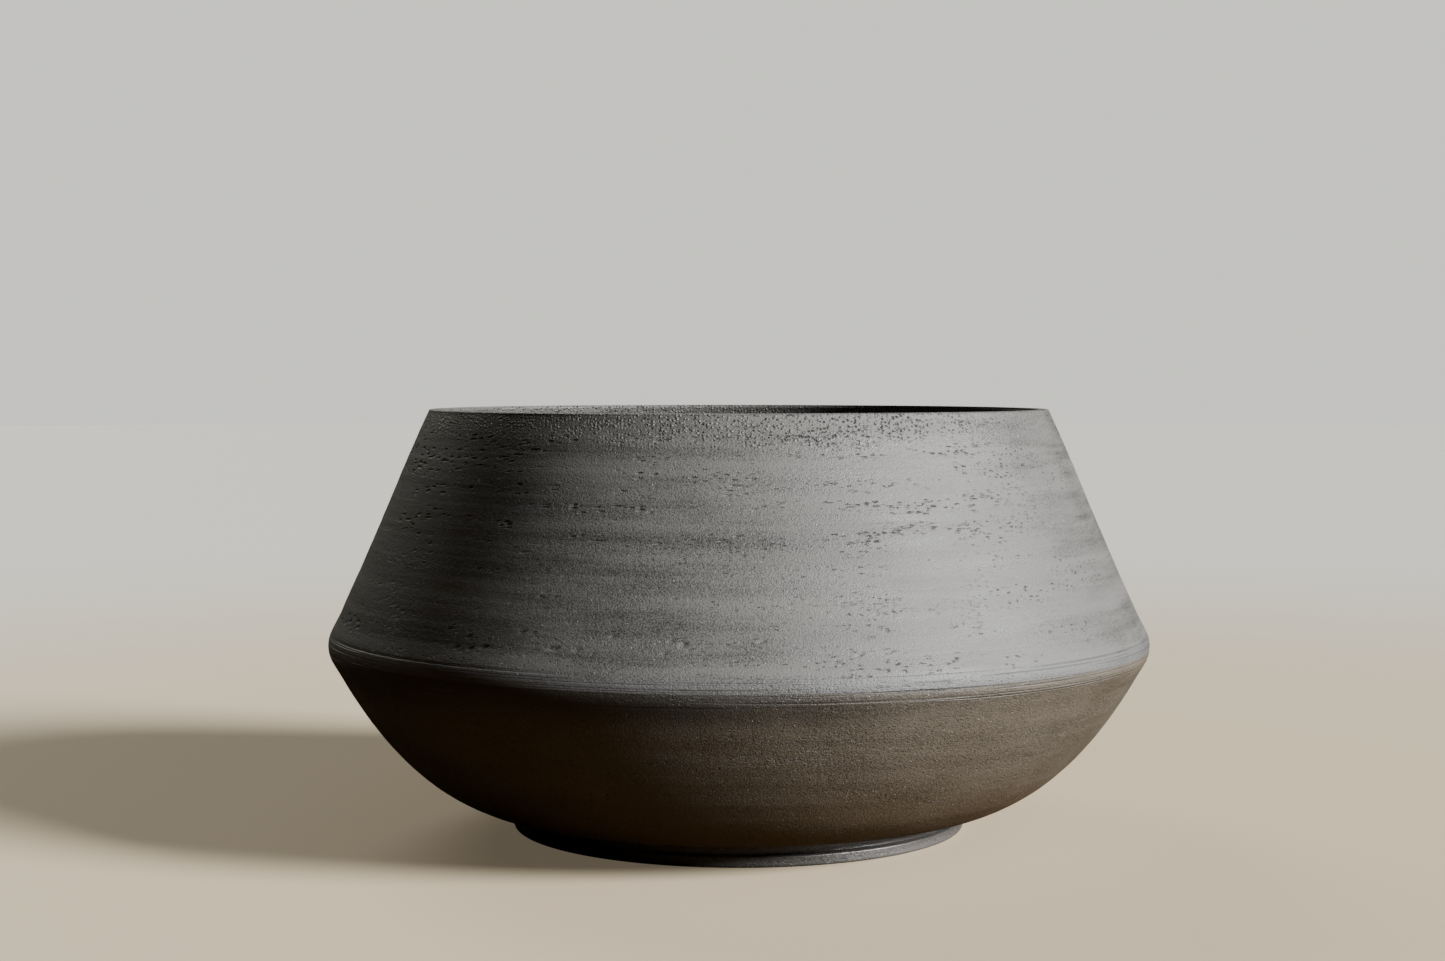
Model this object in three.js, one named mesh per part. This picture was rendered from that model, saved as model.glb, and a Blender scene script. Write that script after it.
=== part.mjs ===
// A round black clay pot with a sharp shoulder, in millimetres, +Z up, standing on z = 0.
//
// The pot is built up from leather-hard members that are luted together with slip: a trimmed
// bowl, a leaning upper wall, a last coil that makes the rim, a band smoothed over the shoulder
// seam outside, a soft coil pressed into the same seam inside, and a foot ring. Each luted seam
// is cut to a shallow vee, and its film of slip is a piece of its own. Every member is a solid
// of revolution about Z, and members that touch share the corners of their outlines.
import * as THREE from 'three';

// Overall sizes
const keelDiameter = 250; // the widest place, at the shoulder
const rimDiameter = 189.2; // outside of the mouth
const potHeight = 128;
const footDiameter = 138.4; // outside of the foot ring
const keelHeight = 57; // of the middle of the rounded shoulder
const footHeight = 6.5; // from the table to the underside of the bowl

// Thicknesses
const lipThickness = 3.6;
const wallThickness = 6; // of both walls where they meet at the shoulder
const floorThickness = 6.5;
const bandThickness = 2.4;
const slipThickness = 0.4;

// Shapes of single members
const noseRadius = 8.6; // of the shoulder's rounding, seen in section
const upperSpring = 0.8; // degrees that the wall leans in further than a straight wall would
const upperSwell = 0.7; // how far the upper wall swells out near the rim
const lowerLean = 27.5; // degrees from upright at which the bowl leaves the shoulder
const bowlFullness = 0.4; // share of the bowl's chord that keeps the lean of the shoulder
const footFullness = 0.311; // share of the bowl's chord that stays level by the foot
const rimCoilHeight = 6;
const lipEdge = 0.5; // softening of the rim's two edges
const seamCoilReach = 6; // how far the inner coil is smeared above and below the seam
const footWidth = 8;
const footEdge = 0.9; // softening of the foot's two edges
const keyDepth = 1; // of the vee that keys a luted seam

// Fineness of the facets
const facetsRound = 64;
const wallSteps = 5;
const bowlSteps = 9;
const noseSteps = 6;

const point = (radius, height) => new THREE.Vector2(radius, height);
const keelRadius = keelDiameter / 2;
const footRadius = footDiameter / 2;
const noseCentre = point(keelRadius - noseRadius, keelHeight);
const rimEdge = point(rimDiameter / 2, potHeight);

// The straight line from the rim that just touches the round shoulder leans by this angle.
const toRim = rimEdge.clone().sub(noseCentre);
const straightLean = Math.atan2(-toRim.x, toRim.y) + Math.asin(noseRadius / toRim.length());
const noseTop = straightLean + THREE.MathUtils.degToRad(upperSpring);
const noseBottom = -THREE.MathUtils.degToRad(lowerLean);

// A point of the shoulder at an angle above level, and a depth below its surface.
function nosePoint(angle, depth) {
  const reach = noseRadius - depth;
  return noseCentre.clone().add(point(reach * Math.cos(angle), reach * Math.sin(angle)));
}

// A point of the shoulder seam's faces: half a film of slip above or below the middle.
const seamPoint = (side, depth) => point(keelRadius - depth, keelHeight + side * slipThickness / 2);

function upperOutside() {
  const shoulder = nosePoint(noseTop, 0);
  const chord = shoulder.clone().sub(rimEdge);
  const byRim = rimEdge.clone().addScaledVector(chord, 1 / 3).add(point(upperSwell, 0));
  const upWall = point(-Math.sin(noseTop), Math.cos(noseTop));
  const byShoulder = shoulder.clone().addScaledVector(upWall, chord.length() * 0.6);
  return new THREE.CubicBezierCurve(rimEdge, byRim, byShoulder, shoulder);
}

function lowerOutside() {
  const shoulder = nosePoint(noseBottom, 0);
  const foot = point(footRadius, footHeight);
  const chord = shoulder.distanceTo(foot);
  const downBowl = point(Math.sin(noseBottom), -Math.cos(noseBottom));
  const byShoulder = shoulder.clone().addScaledVector(downBowl, chord * bowlFullness);
  const byFoot = foot.clone().add(point(chord * footFullness, 0));
  return new THREE.CubicBezierCurve(shoulder, byShoulder, byFoot, foot);
}

// The same curve with its two ends shifted, which gives the inner face of a wall.
function shifted(curve, start, end) {
  return new THREE.CubicBezierCurve(
    curve.v0.clone().add(start), curve.v1.clone().add(start),
    curve.v2.clone().add(end), curve.v3.clone().add(end));
}

const outerWall = upperOutside();
const innerWall = shifted(outerWall, point(-lipThickness, 0),
  nosePoint(noseTop, wallThickness).sub(outerWall.v3));
const outerBowl = lowerOutside();
const innerBowl = shifted(outerBowl,
  nosePoint(noseBottom, wallThickness).sub(outerBowl.v0), point(0, floorThickness));

// Both curves run downwards, so halving finds where one passes a height.
function atHeight(curve, height) {
  let above = 0;
  let below = 1;
  for (let turn = 0; turn < 40; turn += 1) {
    const middle = (above + below) / 2;
    if (curve.getPoint(middle).y > height) above = middle;
    else below = middle;
  }
  return above;
}

function stretch(curve, from, to, steps) {
  const points = [];
  for (let step = 0; step <= steps; step += 1) {
    points.push(curve.getPoint(from + (to - from) * step / steps));
  }
  return points;
}

// A seam's face from its outer to its inner corner, with its middle raised to a ridge.
function keyed(outer, inner) {
  const ridge = outer.clone().add(inner).multiplyScalar(0.5).add(point(0, keyDepth));
  return [outer, ridge, inner];
}

// The face of the rim's seam: the wall cut across at the given height of its outer side.
function rimSeam(height) {
  const cut = atHeight(outerWall, height);
  return { cut, face: keyed(outerWall.getPoint(cut), innerWall.getPoint(cut)) };
}

const rimSeamHeight = potHeight - rimCoilHeight;
const rimSeamTop = rimSeam(rimSeamHeight + slipThickness / 2);
const rimSeamBottom = rimSeam(rimSeamHeight - slipThickness / 2);
const shoulderSeamTop = keyed(seamPoint(1, bandThickness), seamPoint(1, wallThickness));
const shoulderSeamBottom = keyed(seamPoint(-1, bandThickness), seamPoint(-1, wallThickness));
const footSeam = (height) => keyed(point(footRadius, height), point(footRadius - footWidth, height));
const footSeamTop = footSeam(footHeight);
const footSeamBottom = footSeam(footHeight - slipThickness);
const seamCoilTop = atHeight(innerWall, keelHeight + seamCoilReach);
const seamCoilBottom = atHeight(innerBowl, keelHeight - seamCoilReach);

const backwards = (points) => [...points].reverse();

// Outlines run up the outside, across the top and down the inside.
function rimCoil() {
  const outer = outerWall.getPoint(0);
  const inner = innerWall.getPoint(0);
  return [
    ...backwards(rimSeamTop.face),
    outerWall.getPoint(atHeight(outerWall, potHeight - lipEdge)),
    point(outer.x - lipEdge, outer.y),
    point(inner.x + lipEdge, inner.y),
    innerWall.getPoint(atHeight(innerWall, potHeight - lipEdge)),
  ];
}

function slipFilm(bottomFace, topFace) {
  return [...backwards(bottomFace), ...topFace];
}

function upperWall() {
  return [
    ...backwards(shoulderSeamTop),
    nosePoint(noseTop, bandThickness),
    ...backwards(stretch(outerWall, rimSeamBottom.cut, 1, wallSteps)),
    rimSeamBottom.face[1],
    ...stretch(innerWall, rimSeamBottom.cut, seamCoilTop, wallSteps),
    innerWall.getPoint(1),
  ];
}

function keelBand() {
  const outside = [];
  for (let step = -noseSteps / 2; step <= noseSteps / 2; step += 1) {
    const end = step < 0 ? noseBottom : noseTop;
    outside.push(nosePoint(end * Math.abs(step) / (noseSteps / 2), 0));
  }
  return [
    ...outside,
    nosePoint(noseTop, bandThickness),
    seamPoint(1, bandThickness),
    seamPoint(-1, bandThickness),
    nosePoint(noseBottom, bandThickness),
  ];
}

function seamCoil() {
  return [
    innerBowl.getPoint(seamCoilBottom),
    innerBowl.getPoint(0),
    seamPoint(-1, wallThickness),
    seamPoint(1, wallThickness),
    innerWall.getPoint(1),
    innerWall.getPoint(seamCoilTop),
  ];
}

function lowerBowl() {
  return [
    point(0, footHeight),
    ...backwards(footSeamTop),
    ...backwards(stretch(outerBowl, 0, 1, bowlSteps)).slice(1),
    nosePoint(noseBottom, bandThickness),
    ...shoulderSeamBottom,
    innerBowl.getPoint(0),
    ...stretch(innerBowl, seamCoilBottom, 1, bowlSteps),
    point(0, footHeight + floorThickness),
  ];
}

function footRing() {
  const inside = footRadius - footWidth;
  return [
    point(inside + footEdge, 0),
    point(footRadius - footEdge, 0),
    point(footRadius, footEdge),
    ...footSeamBottom,
    point(inside, footEdge),
  ];
}

// Fired clay and dried slip differ only a little in tone and gloss.
const clay = (color, roughness) => new THREE.MeshStandardMaterial({ color, roughness, metalness: 0 });
const pot = new THREE.Group();

function turned(name, outline, material) {
  const onAxis = outline[0].x === 0;
  const profile = onAxis ? outline : [...outline, outline[0]];
  const geometry = new THREE.LatheGeometry(profile, facetsRound);
  geometry.rotateX(Math.PI / 2);
  const mesh = new THREE.Mesh(geometry, material);
  mesh.name = name;
  pot.add(mesh);
}

turned('foot_ring', footRing(), clay(0x2a251f, 0.62));
turned('foot_slip', slipFilm(footSeamBottom, footSeamTop), clay(0x1d1b18, 0.8));
turned('lower_bowl', lowerBowl(), clay(0x312a23, 0.55));
turned('keel_slip', slipFilm(shoulderSeamBottom, shoulderSeamTop), clay(0x1d1b18, 0.8));
turned('upper_wall', upperWall(), clay(0x34322e, 0.55));
turned('keel_band', keelBand(), clay(0x33302c, 0.5));
turned('seam_coil', seamCoil(), clay(0x2a2825, 0.7));
turned('rim_slip', slipFilm(rimSeamBottom.face, rimSeamTop.face), clay(0x1d1b18, 0.8));
turned('rim_coil', rimCoil(), clay(0x2e2c29, 0.7));

export default pot;
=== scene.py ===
"""A shouldered pot of unglazed, black-fired clay, built up from the clay members a potter
lutes together, on a pale floor in soft light from the right. Units are metres, +Z is up."""

import math
import random

import bpy
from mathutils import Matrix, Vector


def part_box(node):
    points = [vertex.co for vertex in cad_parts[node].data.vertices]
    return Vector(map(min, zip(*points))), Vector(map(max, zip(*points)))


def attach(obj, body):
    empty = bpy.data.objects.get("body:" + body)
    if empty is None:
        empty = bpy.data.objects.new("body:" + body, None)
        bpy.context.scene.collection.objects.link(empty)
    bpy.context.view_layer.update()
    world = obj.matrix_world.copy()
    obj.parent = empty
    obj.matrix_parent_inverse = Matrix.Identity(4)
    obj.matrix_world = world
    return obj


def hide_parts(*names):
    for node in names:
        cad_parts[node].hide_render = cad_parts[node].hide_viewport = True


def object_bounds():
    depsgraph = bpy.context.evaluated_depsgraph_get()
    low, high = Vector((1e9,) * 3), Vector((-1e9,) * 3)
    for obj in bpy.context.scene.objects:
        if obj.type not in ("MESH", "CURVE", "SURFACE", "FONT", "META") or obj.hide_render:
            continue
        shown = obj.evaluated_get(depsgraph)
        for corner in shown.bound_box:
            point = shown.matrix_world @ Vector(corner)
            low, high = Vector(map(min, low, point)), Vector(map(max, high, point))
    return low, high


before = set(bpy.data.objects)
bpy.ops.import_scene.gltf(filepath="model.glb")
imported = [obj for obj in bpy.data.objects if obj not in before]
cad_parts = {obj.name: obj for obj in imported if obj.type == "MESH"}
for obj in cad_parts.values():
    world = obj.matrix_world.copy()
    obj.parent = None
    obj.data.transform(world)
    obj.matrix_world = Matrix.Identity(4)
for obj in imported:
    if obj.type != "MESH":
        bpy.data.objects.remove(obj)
cad_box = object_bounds()

# ---------------------------------------------------------------- camera
# A short portrait lens, a little above the rim, aimed just beside the middle of the pot.
camera_distance = 0.7058
camera_height = 0.1379
camera_dip = math.radians(2.619)
camera_swing = math.radians(0.4)

lens = bpy.data.cameras.new("camera")
lens.lens = 57.12
lens.sensor_width = 36
camera = bpy.data.objects.new("camera", lens)
camera.location = (0, -camera_distance, camera_height)
camera.rotation_euler = (math.pi / 2 - camera_dip, 0, camera_swing)
bpy.context.scene.collection.objects.link(camera)
bpy.context.scene.camera = camera

# ---------------------------------------------------------------- upper wall
# The leaning wall from the shoulder to under the rim: a thick coil-built ring of coarse black
# clay, thrown true on the wheel and wiped with a wet hand, which leaves soft rings, drags the
# grit and tears small pits. It is luted to the bowl below and carries the rim coil above.
keel_radius = cad_box[1][0]
pot_height = cad_box[1][2]
nose_radius = 0.0086
nose_middle = 0.057
lip_radius = 0.0946
lip_thickness = 0.0036
wall_thickness = 0.006
band_thickness = 0.0024
slip_thickness = 0.0004
key_depth = 0.001
rim_coil_height = 0.006
upper_spring = math.radians(0.8)
upper_swell = 0.0007
facets_round = 480


def point(radius, height):
    return Vector((radius, height))


def curve(a, b, c, d):
    """A cubic curve as a function of its parameter."""
    return lambda t: (a * (1 - t) ** 3 + 3 * b * t * (1 - t) ** 2
                      + 3 * c * t * t * (1 - t) + d * t ** 3)


def at_height(line, height):
    """The parameter at which a curve that runs downwards passes a height."""
    above, below = 0.0, 1.0
    for _ in range(40):
        middle = (above + below) / 2
        if line(middle).y > height:
            above = middle
        else:
            below = middle
    return above


class Spot:
    """A corner of an outline: its place, the way the surface faces, and how much of the
    turning rings, of the finger spiral and of scored lines it takes."""

    def __init__(self, place, facing=(0, 0), ringed=0.0, spiralled=0.0, scored=0.0):
        self.place = Vector(place)
        self.facing = Vector(facing)
        self.ringed = ringed
        self.spiralled = spiralled
        self.scored = scored


def ease(value, start, end):
    """0 before start, 1 after end and smooth between them."""
    share = min(1.0, max(0.0, (value - start) / (end - start)))
    return share * share * (3 - 2 * share)


def stretch(line, start, end, steps, side=1, **marks):
    """Spots along a curve. A mark is a number or a function of the spot's place. side is 1
    where the clay lies to the left of the way the outline runs, which is every outline here."""
    spots = []
    for step in range(steps + 1):
        t = start + (end - start) * step / steps
        nudge = 1e-4 if end > start else -1e-4
        run = (line(t + nudge) - line(t - nudge)).normalized()
        place = line(t)
        worth = {name: mark(place) if callable(mark) else mark for name, mark in marks.items()}
        spots.append(Spot(place, (run.y * side, -run.x * side), **worth))
    return spots


def straight(a, b):
    return lambda t: a.lerp(b, t)


def keyed(outer, inner):
    """The hidden ridge in the middle of a seam's face."""
    return Spot((outer + inner) / 2 + point(0, key_depth))


nose_centre = point(keel_radius - nose_radius, nose_middle)
rim_edge = point(lip_radius, pot_height)
to_rim = rim_edge - nose_centre
nose_top = (math.atan2(-to_rim.x, to_rim.y) + math.asin(nose_radius / to_rim.length)
            + upper_spring)


def nose_point(angle, depth):
    """A point of the rounded shoulder, at an angle above level and a depth under its face."""
    reach = nose_radius - depth
    return nose_centre + point(math.cos(angle), math.sin(angle)) * reach


def seam_point(side, depth):
    """A corner of the shoulder seam, half a film of slip above or below its middle."""
    return point(keel_radius - depth, nose_middle + side * slip_thickness / 2)


shoulder_top = nose_point(nose_top, 0)
wall_chord = shoulder_top - rim_edge
wall_controls = [
    rim_edge,
    rim_edge + wall_chord / 3 + point(upper_swell, 0),
    shoulder_top + point(-math.sin(nose_top), math.cos(nose_top)) * wall_chord.length * 0.6,
    shoulder_top,
]
lip_shift = point(-lip_thickness, 0)
shoulder_shift = nose_point(nose_top, wall_thickness) - shoulder_top
wall_outside = curve(*wall_controls)
wall_inside = curve(wall_controls[0] + lip_shift, wall_controls[1] + lip_shift,
                    wall_controls[2] + shoulder_shift, wall_controls[3] + shoulder_shift)
rim_seam_height = pot_height - rim_coil_height
rim_seam_low = at_height(wall_outside, rim_seam_height - slip_thickness / 2)
rim_seam_high = at_height(wall_outside, rim_seam_height + slip_thickness / 2)


class Flow:
    """A value in a node tree. An expression on it adds Math nodes to the tree."""

    def __init__(self, socket):
        self.socket = socket

    def worked(self, operation, *others, last=False):
        """This value through one Math node, as its first entry or as its last."""
        entries = (*others, self) if last else (self, *others)
        return Flow.node(self.socket.id_data, "ShaderNodeMath", {"operation": operation},
                         dict(enumerate(entries)))

    @staticmethod
    def node(tree, kind, settings=None, entries=None, output=0):
        """Any node: its settings first, then the values or flows of its sockets."""
        made = tree.nodes.new(kind)
        for name, value in (settings or {}).items():
            setattr(made, name, value)
        for name, value in (entries or {}).items():
            if isinstance(value, Flow):
                tree.links.new(value.socket, made.inputs[name])
            else:
                made.inputs[name].default_value = value
        return Flow(made.outputs[output])

    def other(self, output):
        """Another output of the node that this value comes from."""
        return Flow(self.socket.node.outputs[output])

    def __add__(self, other):
        return self.worked("ADD", other)

    def __radd__(self, other):
        return self.worked("ADD", other, last=True)

    def __sub__(self, other):
        return self.worked("SUBTRACT", other)

    def __rsub__(self, other):
        return self.worked("SUBTRACT", other, last=True)

    def __mul__(self, other):
        return self.worked("MULTIPLY", other)

    def __rmul__(self, other):
        return self.worked("MULTIPLY", other, last=True)

    def __truediv__(self, other):
        return self.worked("DIVIDE", other)


class Clay:
    """The patterns of worked clay, in a shader tree or a geometry tree alike. where is the
    place on the pot, in metres."""

    def __init__(self, tree, where):
        self.tree = tree
        self.where = where

    def node(self, kind, settings=None, entries=None, output=0):
        return Flow.node(self.tree, kind, settings, entries, output)

    def squeezed(self, flat, tall, shift=0.0):
        """Place in units of a detail's size: flat around the pot and tall up its side."""
        units = self.node("ShaderNodeVectorMath", {"operation": "MULTIPLY"}, {
            0: self.where, 1: (1 / flat, 1 / flat, 1 / tall)})
        return self.node("ShaderNodeVectorMath", {"operation": "ADD"}, {
            0: units, 1: (shift, shift / 2, -shift)})

    def noise(self, flat, tall, shift=0.0, detail=2.0, rough=0.5):
        return self.node("ShaderNodeTexNoise", {}, {
            "Vector": self.squeezed(flat, tall, shift), "Scale": 1.0, "Detail": detail,
            "Roughness": rough})

    def between(self, value, low, high):
        """0 under low, 1 over high and smooth between them."""
        return self.node("ShaderNodeMapRange", {"interpolation_type": "SMOOTHSTEP"}, {
            "Value": value, "From Min": low, "From Max": high})

    def height(self):
        """How far above the floor."""
        return self.node("ShaderNodeSeparateXYZ", {}, {"Vector": self.where}).other(2)

    def across(self):
        """How far to the right of the pot's middle."""
        return self.node("ShaderNodeSeparateXYZ", {}, {"Vector": self.where})

    def torn(self, flat, tall, shift, size, amount):
        """Pits dragged sideways by the wiping hand, gathered in rows and patches."""
        cells = self.node("ShaderNodeTexVoronoi", {"feature": "F1"}, {
            "Vector": self.squeezed(flat, tall, shift), "Scale": 1.0, "Randomness": 1.0})
        kind = self.node("ShaderNodeSeparateXYZ", {}, {"Vector": cells.other(1)})
        jag = self.noise(flat * 0.3, tall * 0.5, shift + 6.0, 2.0, 0.6)
        rows = self.noise(0.055, 0.0034, shift + 2.0)
        patches = self.noise(0.02, 0.012, shift + 4.0, 1.0)
        crowd = self.between(rows * 0.6 + patches * 0.4, 0.49, 0.6)
        chosen = self.between(kind, 1.0 - amount, 1.02 - amount) * crowd
        reach = kind.other(1) * 0.6 + 0.5
        bent = (cells + (jag - 0.5) * 1.5) / reach
        return (1.0 - self.between(bent, size * 0.5, size)) * chosen

    def pits(self):
        """The large pits, which are cut into the mesh as well as darkened with painted shade: most
        of them lie in the upper third of the wall and just above the shoulder, and few on the
        right."""
        height = self.height()
        zone = (self.between(height, 0.086, 0.098) + 0.3
                + (1.0 - self.between(height, 0.068, 0.076)) * 0.6)
        lee = 1.0 - self.between(self.across(), 0.05, 0.085) * 0.75
        pits = self.torn(0.0023, 0.00066, 107.0, 0.42, 0.46)
        return (pits * zone * lee).worked("MINIMUM", 1.0)


def turning_tree():
    """Revolves an outline about Z, working rings, a finger spiral, scored lines and pits into
    it along the way each spot faces. Everything is cut inwards, never raised."""
    tree = bpy.data.node_groups.new("turned_clay", "GeometryNodeTree")
    face = tree.interface
    face.new_socket("Outline", in_out="INPUT", socket_type="NodeSocketGeometry")
    for name, kind in (("Steps round", "Int"), ("Closed", "Int"), ("Ring pitch", "Float"),
                       ("Ring depth", "Float"), ("Ring drift", "Float"), ("Sway", "Float"),
                       ("Spiral pitch", "Float"), ("Spiral depth", "Float"),
                       ("Score depth", "Float"), ("Pit depth", "Float"), ("Seed", "Float"),
                       ("Clay", "Material")):
        face.new_socket(name, in_out="INPUT", socket_type="NodeSocket" + kind)
    face.new_socket("Pot", in_out="OUTPUT", socket_type="NodeSocketGeometry")
    group = tree.nodes.new("NodeGroupInput")
    given = {socket.name: Flow(socket) for socket in group.outputs if socket.name}

    def node(kind, settings=None, entries=None, output=0):
        return Flow.node(tree, kind, settings, entries, output)

    outline = given["Outline"]
    count = node("GeometryNodeAttributeDomainSize", {"component": "MESH"}, {"Geometry": outline})
    columns = count + given["Closed"]
    rows = given["Steps round"] + 1
    sheet = node("GeometryNodeMeshGrid", {}, {"Vertices X": columns, "Vertices Y": rows})
    index = node("GeometryNodeInputIndex")
    column = ((index + 0.5) / rows).worked("FLOOR")
    row = index - column * rows
    turn = row / given["Steps round"] * math.tau
    source = column.worked("MODULO", count)

    def sampled(value, kind):
        return node("GeometryNodeSampleIndex", {"data_type": kind, "domain": "POINT"},
                    {"Geometry": outline, "Value": value, "Index": source})

    def attribute(name, kind="FLOAT"):
        value = node("GeometryNodeInputNamedAttribute", {"data_type": kind}, {"Name": name})
        return sampled(value, kind)

    def parts(vector):
        split = node("ShaderNodeSeparateXYZ", {}, {"Vector": vector})
        return [split.other(axis) for axis in range(3)]

    radius, _, height = parts(sampled(node("GeometryNodeInputPosition"), "FLOAT_VECTOR"))
    out_r, _, out_z = parts(attribute("facing", "FLOAT_VECTOR"))
    cosine = turn.worked("COSINE")
    sine = turn.worked("SINE")

    def noise(pitch, drift, shift, detail):
        place = node("ShaderNodeCombineXYZ", {}, {
            "X": radius / pitch, "Y": height / pitch, "Z": cosine * drift})
        return node("ShaderNodeTexNoise", {"noise_dimensions": "4D"}, {
            "Vector": place, "W": sine * drift + given["Seed"] + shift,
            "Scale": 1.0, "Detail": detail, "Roughness": 0.5})

    rings = noise(given["Ring pitch"], given["Ring drift"], 0.0, 3.0) * given["Ring depth"]
    sway = noise(0.05, 0.7, 11.0, 0.0) * given["Sway"]
    wave = attribute("along") / given["Spiral pitch"] * math.tau + turn
    spiral = (wave.worked("SINE") * 0.5 + 0.5) * noise(0.02, 1.4, 23.0, 1.0)
    score = noise(0.03, 2.2, 37.0, 2.0)
    score = ((score - 0.3) * 2.0).worked("MAXIMUM", 0.0)
    turned_place = node("ShaderNodeCombineXYZ", {}, {
        "X": radius * cosine, "Y": radius * sine, "Z": height})
    pits = Clay(tree, turned_place).pits() * given["Pit depth"]
    cut = (attribute("ringed") * (rings + sway + pits)
           + attribute("spiralled") * spiral * given["Spiral depth"]
           + attribute("scored") * score * given["Score depth"])
    radius = radius - out_r * cut
    height = height - out_z * cut
    place = node("ShaderNodeCombineXYZ", {}, {
        "X": radius * cosine, "Y": radius * sine, "Z": height})
    pot = node("GeometryNodeSetPosition", {}, {"Geometry": sheet, "Position": place})
    pot = node("GeometryNodeFlipFaces", {}, {"Mesh": pot})
    pot = node("GeometryNodeMergeByDistance", {}, {"Geometry": pot, "Distance": 1e-6})
    corner = node("GeometryNodeInputMeshEdgeAngle")
    sharp = node("FunctionNodeCompare", {"data_type": "FLOAT", "operation": "GREATER_THAN"},
                 {0: corner, 1: 0.6})
    pot = node("GeometryNodeSetShadeSmooth", {"domain": "EDGE"},
               {"Geometry": pot, "Selection": sharp, "Shade Smooth": False})
    pot = node("GeometryNodeRealizeInstances", {}, {"Geometry": pot})
    pot = node("GeometryNodeSetMaterial", {}, {"Geometry": pot, "Material": given["Clay"]})
    tree.links.new(pot.socket, tree.nodes.new("NodeGroupOutput").inputs[0])
    return tree


turned_clay = turning_tree()


def turned(name, spots, clay, closed=True, **sizes):
    """One clay member as a plain mesh, revolved from its outline by the turning tree."""
    mesh = bpy.data.meshes.new(name)
    corners = [(spot.place.x, 0, spot.place.y) for spot in spots]
    mesh.from_pydata(corners, [(i, i + 1) for i in range(len(spots) - 1)], [])
    along = [0.0]
    for before, after in zip(spots, spots[1:]):
        along.append(along[-1] + (after.place - before.place).length)
    marks = {"along": along}
    for mark in ("ringed", "spiralled", "scored"):
        marks[mark] = [getattr(spot, mark) for spot in spots]
    for mark, values in marks.items():
        mesh.attributes.new(mark, "FLOAT", "POINT").data.foreach_set("value", values)
    facing = [part for spot in spots for part in (spot.facing.x, 0, spot.facing.y)]
    mesh.attributes.new("facing", "FLOAT_VECTOR", "POINT").data.foreach_set("vector", facing)
    piece = bpy.data.objects.new(name, mesh)
    bpy.context.scene.collection.objects.link(piece)
    turning = piece.modifiers.new("turning", "NODES")
    turning.node_group = turned_clay
    given = {
        "Steps round": facets_round, "Closed": int(closed), "Ring pitch": 0.004,
        "Ring depth": 0.0, "Ring drift": 0.5, "Sway": 0.0, "Spiral pitch": 0.006,
        "Spiral depth": 0.0, "Score depth": 0.0, "Pit depth": 0.0, "Seed": 0.0,
        "Clay": clay,
    }
    given.update(sizes)
    for item in turned_clay.interface.items_tree:
        if item.name in given:
            turning[item.identifier] = given[item.name]
    shape = piece.evaluated_get(bpy.context.evaluated_depsgraph_get())
    finished = bpy.data.meshes.new_from_object(shape)
    piece.modifiers.remove(turning)
    piece.data = finished
    finished.name = name
    return piece


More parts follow.
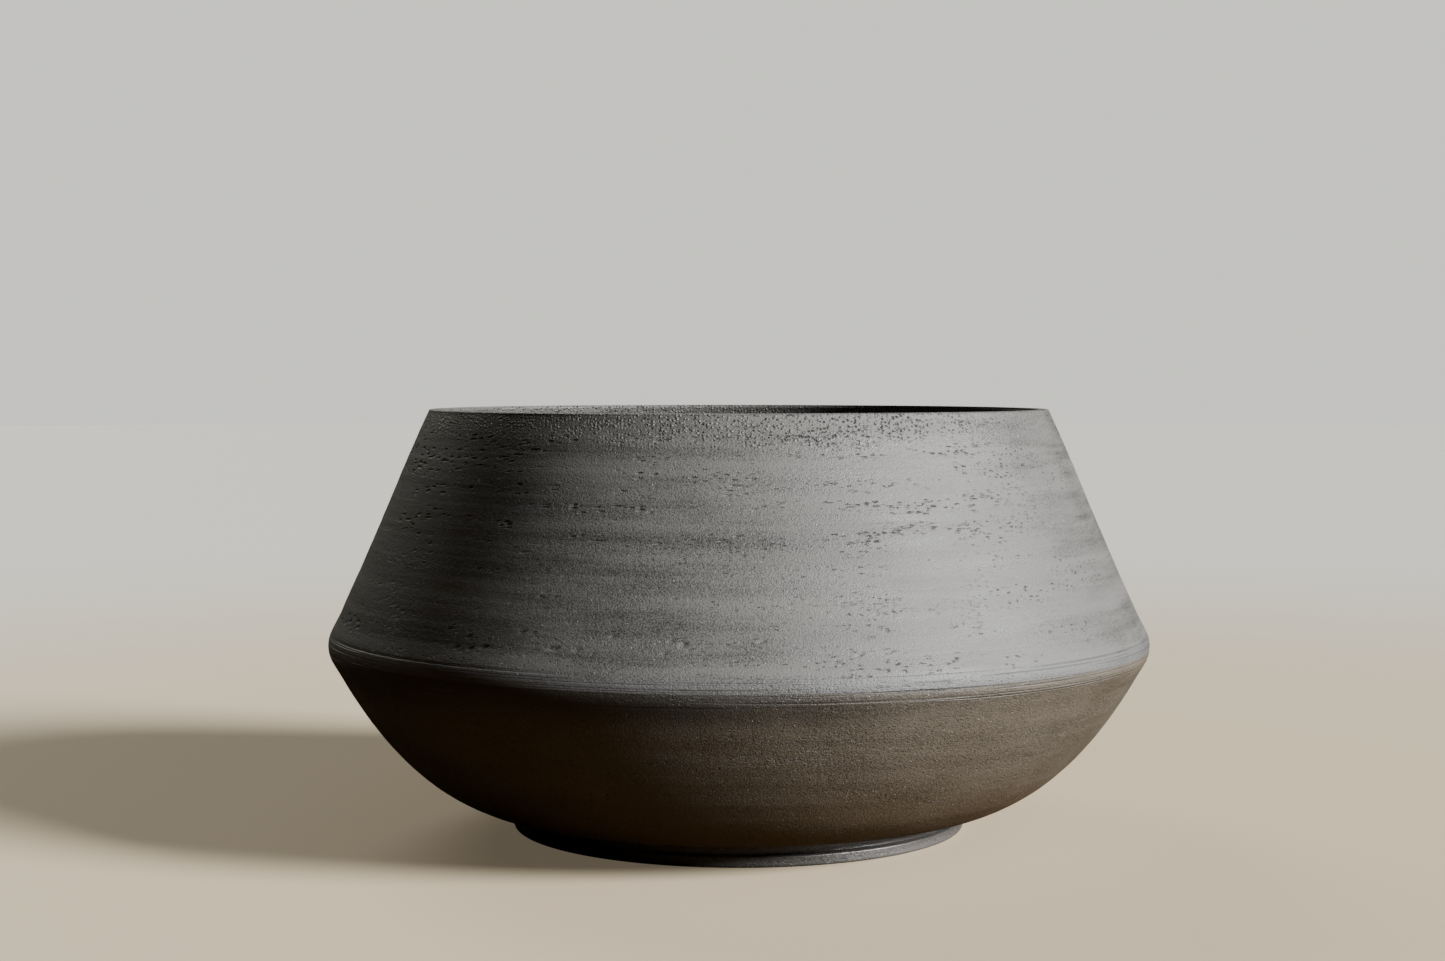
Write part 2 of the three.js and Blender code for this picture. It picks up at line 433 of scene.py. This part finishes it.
def fired_clay(name, colour, roughness, grain, pitting, strokes, rim_grit=0.0, ribbed=0.0,
               below=None, left_band_dark=0.0):
    """Black-fired coarse clay. colour is its mean tone; grain, pitting and strokes are the
    strengths of its fine tooth, its torn pits and the soft rings of the wiping hand. rim_grit
    and ribbed are for the torn grit under the rim and the lines of a rib. The pits, the rib
    lines and the holes in the grit are darkened with painted shade, and the stones in the grit
    are lightened with painted glints. below is the browner colour of the trimmed clay under
    the widest line, which turns rusty by the foot, and the last argument is the strength of
    a near-black tone just under that line, on the left side only."""
    gloss_index = 1.72
    relief_depth = 0.001
    black = (0, 0, 0, 1)
    left_band_black = (0.012, 0.0115, 0.011, 1)
    pale_speck = (0.42, 0.40, 0.36, 1)
    grit_low, grit_full = pot_height - 0.0105, pot_height - 0.0035
    rust_full, rust_high = 0.006, 0.034
    left_band_low, left_band_full = nose_middle - 0.014, nose_middle - 0.003
    trim_line, trim_blur = nose_middle - 0.0006, 0.0003

    material = bpy.data.materials.new(name)
    material.use_nodes = True
    tree = material.node_tree
    shader = tree.nodes["Principled BSDF"]
    clay = Clay(tree, Flow.node(tree, "ShaderNodeTexCoord", output=3))

    def mixed(share, first, second):
        return clay.node("ShaderNodeMix", {"data_type": "RGBA"}, {0: share, 6: first, 7: second},
                         output=2)

    tooth = clay.noise(0.00052, 0.00042, 0.0, 3.0, 0.7)
    crumbs = clay.noise(0.0019, 0.0013, 3.0)
    wiped = clay.noise(0.07, 0.004, 5.0, 3.0, 0.5)
    bands = clay.noise(0.11, 0.009, 31.0, 1.0)
    fine_wiped = clay.noise(0.02, 0.0011, 9.0)
    smudges = clay.noise(0.022, 0.015, 1.0, 3.0)
    small_pits = clay.torn(0.0017, 0.0006, 117.0, 0.42, 0.3)
    pit = clay.pits().worked("MAXIMUM", small_pits * 0.9) * pitting
    speck_cells = clay.node("ShaderNodeTexVoronoi", {"feature": "F1"}, {
        "Vector": clay.squeezed(0.0012, 0.0012, 13.0), "Scale": 1.0, "Randomness": 1.0})
    speck_kind = clay.node("ShaderNodeSeparateXYZ", {}, {"Vector": speck_cells.other(1)})
    speck = (1.0 - clay.between(speck_cells, 0.1, 0.22)) * clay.between(speck_kind, 0.95, 0.955)

    tone = (0.8 + (tooth - 0.5) * 2.4 * grain + (smudges - 0.5) * 0.5
            + ((wiped - 0.5) * 1.1 + (bands - 0.5) * 0.8 + (fine_wiped - 0.5) * 0.4) * strokes)
    # The pits are darkened with painted shade; they are also cut into the bump and the mesh.
    tone = tone * (1.0 - pit * 0.8)
    rough = (roughness + ((wiped - 0.5) * 0.4 + (fine_wiped - 0.5) * 0.15) * strokes
             + (smudges - 0.5) * 0.25 + (tooth - 0.5) * 0.5 * grain + pit * 0.3)
    relief = ((tooth - 0.5) * 0.19 * grain + (crumbs - 0.5) * 0.07 * grain
              + (wiped - 0.5) * 0.12 * strokes + (fine_wiped - 0.5) * 0.04 * strokes
              - pit * 0.3 + speck * 0.05)

    if ribbed:
        lines = clay.between(clay.noise(0.09, 0.00055, 41.0, 2.0), 0.54, 0.64) * ribbed
        # The rib's lines are cut into the bump and darkened with painted shade.
        tone = tone * (1.0 - lines * 0.35)
        relief = relief - lines * 0.12

    if rim_grit:
        edge = clay.height() + (clay.noise(0.009, 0.012, 27.0, 3.0) - 0.5) * 0.014
        near_rim = clay.between(edge, grit_low, grit_full) * rim_grit
        near_rim = near_rim * (1.0 - clay.between(clay.across(), 0.045, 0.07) * 0.8)
        grains = clay.node("ShaderNodeTexVoronoi", {"feature": "F1"}, {
            "Vector": clay.squeezed(0.00105, 0.0008, 21.0), "Scale": 1.0, "Randomness": 1.0})
        grain_kind = clay.node("ShaderNodeSeparateXYZ", {}, {"Vector": grains.other(1)})
        round_off = 1.0 - clay.between(grains + (tooth - 0.5) * 0.7, 0.12, 0.5)
        # The grit's holes are darkened with painted shade and its stones lightened with painted
        # glints; both are also cut or raised in the bump.
        shaded_holes = clay.between(grain_kind, 0.56, 0.6) * round_off * near_rim
        glinting_stones = (1.0 - clay.between(grain_kind, 0.5, 0.56)) * round_off * near_rim
        tone = tone * (1.0 - shaded_holes * 0.9) + glinting_stones * 0.35
        rough = rough + shaded_holes * 0.3 - glinting_stones * 0.16
        relief = relief - shaded_holes * 0.4 + glinting_stones * 0.26

    base = mixed(tone, black, (*colour, 1))
    if below:
        under = 1.0 - clay.between(clay.height(), trim_line, trim_line + trim_blur)
        by_foot = 1.0 - clay.between(clay.height() + (smudges - 0.5) * 0.012, rust_full, rust_high)
        rust = (below[0] * 1.06, below[1] * 0.84, below[2] * 0.56, 1)
        earth = mixed(by_foot, (*below, 1), rust)
        base = mixed(under, base, mixed(tone, black, earth))
        # A near-black tone just under the widest line, on the left side only.
        left_band_height = clay.between(clay.height() + (wiped - 0.5) * 0.008, left_band_low, left_band_full)
        left_band_side = 1.0 - clay.between(clay.across() + (smudges - 0.5) * 0.05, -0.03, 0.08)
        base = mixed(under * left_band_height * left_band_side * left_band_dark, base, left_band_black)
    base = mixed(speck * 0.55, base, pale_speck)
    tree.links.new(base.socket, shader.inputs["Base Color"])
    tree.links.new(rough.socket, shader.inputs["Roughness"])
    bump = clay.node("ShaderNodeBump", {}, {
        "Height": relief, "Distance": relief_depth, "Strength": 1.0})
    tree.links.new(bump.socket, shader.inputs["Normal"])
    shader.inputs["IOR"].default_value = gloss_index
    return material


wall_clay = fired_clay("wall_clay", (0.108, 0.105, 0.099), 0.58, 1.0, 1.0, 1.0, rim_grit=1.0)
ring_pitch, ring_depth, ring_drift, sway = 0.0045, 0.0003, 0.45, 0.0003


def wall_worn(place):
    """The rings fade out where the wall meets the shoulder band."""
    return ease(place.y, shoulder_top.y, shoulder_top.y + 0.006)


def inside_worn(place):
    """The finger spiral fades out under the rim and where the seam coil covers it."""
    return ease(place.y, nose_middle + 0.004, nose_middle + 0.01) * (
        1 - ease(place.y, pot_height - 0.014, pot_height - 0.007))


seam_coil_reach = 0.006
seam_coil_top = at_height(wall_inside, nose_middle + seam_coil_reach)
upper_outline = [
    Spot(seam_point(1, wall_thickness)),
    keyed(seam_point(1, band_thickness), seam_point(1, wall_thickness)),
    Spot(seam_point(1, band_thickness)),
    Spot(nose_point(nose_top, band_thickness)),
]
upper_outline += stretch(wall_outside, 1, rim_seam_low, 130, ringed=wall_worn)
upper_outline[4].scored = 1.0
upper_outline.append(keyed(wall_outside(rim_seam_low), wall_inside(rim_seam_low)))
upper_outline += stretch(wall_inside, rim_seam_low, seam_coil_top, 56, spiralled=inside_worn)
upper_outline.append(Spot(wall_inside(1)))
upper_wall = turned("upper_wall_clay", upper_outline, wall_clay, **{
    "Ring pitch": ring_pitch, "Ring depth": ring_depth, "Ring drift": ring_drift,
    "Sway": sway, "Spiral pitch": 0.0075, "Spiral depth": 0.0006, "Score depth": 0.00025,
    "Pit depth": 0.0003})
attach(upper_wall, "root")
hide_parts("upper_wall")

# ---------------------------------------------------------------- rim coil
# The last coil, luted on top of the wall and cut level with a wire. It is the same clay, but
# the cut drags the grit out, so its skin is the coarsest on the pot. Both edges are softened.
rim_clay = fired_clay("rim_clay", (0.106, 0.103, 0.097), 0.6, 1.1, 1.0, 1.0, rim_grit=1.0)
lip_outer_edge, lip_inner_edge = 0.0006, 0.0009


def rounded(before, corner, after, size, steps, **marks):
    """Spots round a corner between two directions, each leg of it as long as size."""
    start = corner + (before - corner).normalized() * size
    end = corner + (after - corner).normalized() * size
    arc = curve(start, start.lerp(corner, 0.6), end.lerp(corner, 0.6), end)
    return stretch(arc, 0, 1, steps, **marks)


outer_top, inner_top = wall_outside(0), wall_inside(0)
outer_start = wall_outside(at_height(wall_outside, pot_height - lip_outer_edge))
rim_outline = [
    Spot(wall_inside(rim_seam_high)),
    keyed(wall_outside(rim_seam_high), wall_inside(rim_seam_high)),
]
rim_outline += stretch(wall_outside, rim_seam_high,
                       at_height(wall_outside, pot_height - lip_outer_edge * 1.2), 14, ringed=1.0)
rim_outline += rounded(outer_start, outer_top, inner_top, lip_outer_edge, 5, ringed=0.8)
rim_outline += stretch(straight(outer_top + point(-lip_outer_edge * 1.2, 0),
                                inner_top + point(lip_inner_edge * 1.2, 0)), 0, 1, 6, ringed=0.8)
rim_outline += rounded(outer_top, inner_top, wall_inside(rim_seam_high), lip_inner_edge, 5,
                       ringed=0.6)
rim_outline += stretch(wall_inside, at_height(wall_inside, pot_height - lip_inner_edge * 1.2),
                       rim_seam_high, 10)[:-1]
rim_coil = turned("rim_coil_clay", rim_outline, rim_clay, **{
    "Ring pitch": ring_pitch, "Ring depth": ring_depth, "Ring drift": ring_drift, "Sway": sway})
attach(rim_coil, "root")
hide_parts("rim_coil")

# ---------------------------------------------------------------- shoulder band
# A thin strap of soft clay smoothed over the shoulder seam with a rib while the pot turned.
# The rib leaves fine lines round the rounded edge and a scored line where the strap ends.
bowl_colour = (0.111, 0.090, 0.064)
band_clay = fired_clay("band_clay", (0.106, 0.105, 0.104), 0.57, 1.1, 0.3, 0.8, ribbed=1.0,
                       below=bowl_colour, left_band_dark=0.85)
lower_lean = math.radians(27.5)
band_steps = 40
ribbing = random.Random(4)


def shoulder_arc(share):
    angle = -lower_lean + (nose_top + lower_lean) * share
    return nose_point(angle, 0)


band_outline = stretch(shoulder_arc, 0, 1, band_steps)
for spot in band_outline[1:-1]:
    if abs(spot.place.y - nose_middle) > 0.0006:
        spot.scored = 0.28 * ribbing.random() ** 2
band_outline[-1].scored = 1.0
band_outline[0].scored = 0.4
band_outline += [
    Spot(nose_point(nose_top, band_thickness)),
    Spot(seam_point(1, band_thickness)),
    Spot(seam_point(-1, band_thickness)),
    Spot(nose_point(-lower_lean, band_thickness)),
]
keel_band = turned("keel_band_clay", band_outline, band_clay, **{"Score depth": 0.00025})
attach(keel_band, "root")
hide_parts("keel_band")

# ---------------------------------------------------------------- lower bowl
# The lower half: floor and rounded wall, thrown thick and trimmed outside with a loop tool
# when leather hard. It is browner than the wall, smoother, with a few dragged pits; inside,
# the fingers left a spiral that runs out across the floor.
bowl_clay = fired_clay("bowl_clay", bowl_colour, 0.54, 1.3, 0.8, 0.5, below=bowl_colour, left_band_dark=0.85)
foot_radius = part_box("foot_ring")[1].x
foot_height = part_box("lower_bowl")[0].z
foot_width = 0.008
floor_thickness = 0.0065
bowl_fullness, foot_fullness = 0.4, 0.311

shoulder_bottom = nose_point(-lower_lean, 0)
foot_corner = point(foot_radius, foot_height)
bowl_chord = (shoulder_bottom - foot_corner).length
down_bowl = point(-math.sin(lower_lean), -math.cos(lower_lean))
bowl_controls = [
    shoulder_bottom,
    shoulder_bottom + down_bowl * bowl_chord * bowl_fullness,
    foot_corner + point(bowl_chord * foot_fullness, 0),
    foot_corner,
]
bowl_shift = nose_point(-lower_lean, wall_thickness) - shoulder_bottom
floor_shift = point(0, floor_thickness)
bowl_outside = curve(*bowl_controls)
bowl_inside = curve(bowl_controls[0] + bowl_shift, bowl_controls[1] + bowl_shift,
                    bowl_controls[2] + floor_shift, bowl_controls[3] + floor_shift)
seam_coil_bottom = at_height(bowl_inside, nose_middle - seam_coil_reach)


def bowl_worn(place):
    """The trimming rings fade out at the shoulder band and at the foot."""
    return (1 - ease(place.y, shoulder_bottom.y - 0.005, shoulder_bottom.y)) * ease(
        place.y, foot_height, foot_height + 0.0008)


def floor_worn(place):
    """The spiral starts beside the middle of the floor and ends under the seam coil."""
    return (1 - ease(place.y, nose_middle - 0.012, nose_middle - 0.006)) * ease(
        place.x, 0.0, 0.006)


def recess_worn(place):
    return (1 - ease(place.x, foot_radius - foot_width - 0.003, foot_radius - foot_width)) * ease(
        place.x, 0.0, 0.006)


foot_inner = point(foot_radius - foot_width, foot_height)
under_middle, floor_middle = point(0, foot_height), point(0, foot_height + floor_thickness)
bowl_outline = stretch(straight(under_middle, foot_inner), 0, 1, 18, spiralled=recess_worn)
bowl_outline.append(keyed(foot_corner, foot_inner))
bowl_outline += stretch(bowl_outside, 1, 0, 90, ringed=bowl_worn)
bowl_outline[-1].scored = 0.4
bowl_outline += [
    Spot(nose_point(-lower_lean, band_thickness)),
    Spot(seam_point(-1, band_thickness)),
    keyed(seam_point(-1, band_thickness), seam_point(-1, wall_thickness)),
    Spot(seam_point(-1, wall_thickness)),
    Spot(bowl_inside(0)),
]
bowl_outline += stretch(bowl_inside, seam_coil_bottom, 1, 42, spiralled=floor_worn)
bowl_outline += stretch(straight(bowl_inside(1), floor_middle), 0, 1, 30, spiralled=floor_worn)[1:]
lower_bowl = turned("lower_bowl_clay", bowl_outline, bowl_clay, closed=False, **{
    "Ring pitch": 0.0035, "Ring depth": 0.00016, "Ring drift": 0.35, "Sway": 0.0002,
    "Spiral pitch": 0.0075, "Spiral depth": 0.0006, "Score depth": 0.00025, "Seed": 5.0})
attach(lower_bowl, "root")
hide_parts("lower_bowl")

# ---------------------------------------------------------------- seam coil
# A soft coil pressed into the shoulder seam from inside and smeared up and down with a
# finger, which closes the seam and thickens the corner.
coil_clay = fired_clay("coil_clay", (0.050, 0.048, 0.046), 0.62, 1.2, 0.3, 0.8)
coil_foot, coil_head = bowl_inside(seam_coil_bottom), wall_inside(seam_coil_top)
coil_face = straight(coil_head, coil_foot)


def coil_worn(place):
    middle = (coil_foot.y + coil_head.y) / 2
    return 1 - ease(abs(place.y - middle), 0.003, 0.0055)


coil_outline = [
    Spot(bowl_inside(0)),
    Spot(seam_point(-1, wall_thickness)),
    Spot(seam_point(1, wall_thickness)),
    Spot(wall_inside(1)),
]
coil_outline += stretch(coil_face, 0, 1, 22, ringed=coil_worn)
seam_coil = turned("seam_coil_clay", coil_outline, coil_clay, **{
    "Ring pitch": 0.006, "Ring depth": 0.0008, "Ring drift": 3.5, "Seed": 9.0})
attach(seam_coil, "root")
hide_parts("seam_coil")

# ---------------------------------------------------------------- foot ring
# A ring of clay luted under the bowl and turned true: a short upright outside, undercut where
# it meets the bowl and wiped to a low gloss, with softened edges and a flat tread.
foot_clay = fired_clay("foot_clay", (0.112, 0.105, 0.100), 0.3, 0.6, 0.5, 0.5)
foot_edge = 0.0009
undercut = 0.0016
lip_height = 0.0028  # of the upright below the undercut
undercut_rise = 0.0013  # of the rounding from the lip into the undercut
tread = [point(foot_radius - foot_width, 0), point(foot_radius, 0)]
groove_foot = tread[1] + point(0, lip_height)
groove_head = groove_foot + point(-undercut, undercut_rise)
foot_top = foot_height - slip_thickness
foot_corners = [point(foot_radius - undercut, foot_top), point(foot_radius - foot_width, foot_top)]
foot_outline = stretch(straight(tread[0] + point(foot_edge, 0), tread[1] - point(foot_edge, 0)),
                       0, 1, 10)[1:-1]
foot_outline += rounded(tread[0], tread[1], groove_foot, foot_edge, 6)
foot_outline += stretch(straight(tread[1] + point(0, foot_edge * 1.2), groove_foot), 0, 1, 6)[:-1]
foot_outline += stretch(curve(groove_foot, groove_foot + point(0, 0.0009),
                              groove_foot + point(-undercut, 0.0002), groove_head), 0, 1, 8)
foot_outline += stretch(straight(groove_head, foot_corners[0]), 0, 1, 4)[1:]
foot_outline.append(keyed(*foot_corners))
foot_outline += stretch(straight(foot_corners[1], tread[0] + point(0, foot_edge * 1.2)), 0, 1, 8)
foot_outline += rounded(foot_corners[1], tread[0], tread[1], foot_edge, 6)
foot_ring = turned("foot_ring_clay", foot_outline, foot_clay)
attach(foot_ring, "root")
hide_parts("foot_ring")

# ---------------------------------------------------------------- slip films
# Thin films of wet clay brushed into the scored seams. They fire to a dull black line. The
# rim's film comes out on the wall, where the wiping hand covered it with the wall's clay.
slip = fired_clay("slip", (0.030, 0.028, 0.026), 0.8, 0.8, 0.0, 0.2)


def film(name, node_name, low, high, outside, clay=slip, **sizes):
    """A film between the lower and the upper face of a seam, each from outside to inside.
    outside is the run of spots where the film comes to the outer face of the pot."""
    outline = [Spot(low[1]), keyed(*low), *outside, keyed(*high), Spot(high[1])]
    piece = turned(name, outline, clay, **sizes)
    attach(piece, "root")
    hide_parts(node_name)


film("rim_slip_film", "rim_slip", (wall_outside(rim_seam_low), wall_inside(rim_seam_low)),
     (wall_outside(rim_seam_high), wall_inside(rim_seam_high)),
     stretch(wall_outside, rim_seam_low, rim_seam_high, 1, ringed=1.0), wall_clay, **{
         "Ring pitch": ring_pitch, "Ring depth": ring_depth, "Ring drift": ring_drift,
         "Sway": sway})
hidden_low, hidden_high = seam_point(-1, band_thickness), seam_point(1, band_thickness)
film("keel_slip_film", "keel_slip", (hidden_low, seam_point(-1, wall_thickness)),
     (hidden_high, seam_point(1, wall_thickness)), [Spot(hidden_low), Spot(hidden_high)])
foot_slip_edge = point(foot_radius - undercut, foot_height)
film("foot_slip_film", "foot_slip", foot_corners, (foot_slip_edge, foot_inner),
     [Spot(foot_corners[0]), Spot(foot_slip_edge)])

# ---------------------------------------------------------------- floor and light
# A plain pale floor, warm close to the pot, and one large soft light from the right. Floor and
# room look pale, but throw only the dim light of dim_floor and dim_room on the pot. The floor
# also glows a little to the camera alone, a painted light that lifts the shadow on it.
floor_reach = 6.0
warm_floor, pale_floor = (0.52, 0.43, 0.30, 1), (0.56, 0.55, 0.50, 1)
warm_reach, pale_reach = 0.15, 1.2
dim_floor, dim_room = (0.060, 0.032, 0.007, 1), (0.004, 0.004, 0.004, 1)
pale_room = (0.93, 0.92, 0.86, 1)
floor_glow = 0.22
bpy.ops.mesh.primitive_circle_add(vertices=96, radius=floor_reach, fill_type="NGON")
floor = bpy.context.object
floor.name = "floor"
floor_paint = bpy.data.materials.new("floor_paint")
floor_paint.use_nodes = True
floor_tree = floor_paint.node_tree
floor_shader = floor_tree.nodes["Principled BSDF"]
floor_shader.inputs["Roughness"].default_value = 0.7
floor_place = Flow.node(floor_tree, "ShaderNodeTexCoord", output=3)
floor_distance = Flow.node(floor_tree, "ShaderNodeVectorMath", {"operation": "LENGTH"},
                           {0: floor_place}, output=1)
floor_share = Flow.node(floor_tree, "ShaderNodeMapRange", {"interpolation_type": "SMOOTHSTEP"}, {
    "Value": floor_distance, "From Min": warm_reach, "From Max": pale_reach})
floor_colour = Flow.node(floor_tree, "ShaderNodeMix", {"data_type": "RGBA"}, {
    0: floor_share, 6: warm_floor, 7: pale_floor}, output=2)
floor_lit = Flow.node(floor_tree, "ShaderNodeMix", {"data_type": "RGBA"}, {
    0: Flow.node(floor_tree, "ShaderNodeLightPath"), 6: dim_floor, 7: floor_colour}, output=2)
floor_tree.links.new(floor_lit.socket, floor_shader.inputs["Base Color"])
floor_shader.inputs["Specular IOR Level"].default_value = 0.1
# The floor's glow, seen by the camera alone, is painted light that lifts the shadow on it.
floor_fill = Flow.node(floor_tree, "ShaderNodeMix", {"data_type": "RGBA"}, {
    0: Flow.node(floor_tree, "ShaderNodeLightPath"), 6: (0, 0, 0, 1), 7: floor_colour}, output=2)
floor_tree.links.new(floor_fill.socket, floor_shader.inputs["Emission Color"])
floor_shader.inputs["Emission Strength"].default_value = floor_glow
floor.data.materials.append(floor_paint)


def compass(azimuth, elevation):
    """The way from the pot to a light. Azimuth 0 is the camera's side and 90 is the right."""
    turn, rise = math.radians(azimuth), math.radians(elevation)
    return Vector((math.sin(turn) * math.cos(rise), -math.cos(turn) * math.cos(rise),
                   math.sin(rise)))


def daylight(name, azimuth, elevation, softness, strength, colour):
    """Light from far off, as from a window or a lit wall as wide as softness in degrees."""
    light = bpy.data.lights.new(name, "SUN")
    light.energy = strength
    light.angle = math.radians(softness)
    light.color = colour
    lamp = bpy.data.objects.new(name, light)
    lamp.rotation_euler = compass(azimuth, elevation).to_track_quat("Z", "Y").to_euler()
    bpy.context.scene.collection.objects.link(lamp)


daylight("window", 65, 23, 17, 11.2, (1.0, 1.0, 0.985))
daylight("far_wall", -152, 34, 30, 0.95, (1.0, 1.0, 0.9))
daylight("ceiling", 60, 85, 60, 0.08, (1.0, 1.0, 1.0))

world = bpy.data.worlds.new("room")
world.use_nodes = True
bpy.context.scene.world = world
room_tree = world.node_tree
room_colour = Flow.node(room_tree, "ShaderNodeMix", {"data_type": "RGBA"}, {
    0: Flow.node(room_tree, "ShaderNodeLightPath"), 6: dim_room, 7: pale_room}, output=2)
room_tree.links.new(room_colour.socket, room_tree.nodes["Background"].inputs["Color"])
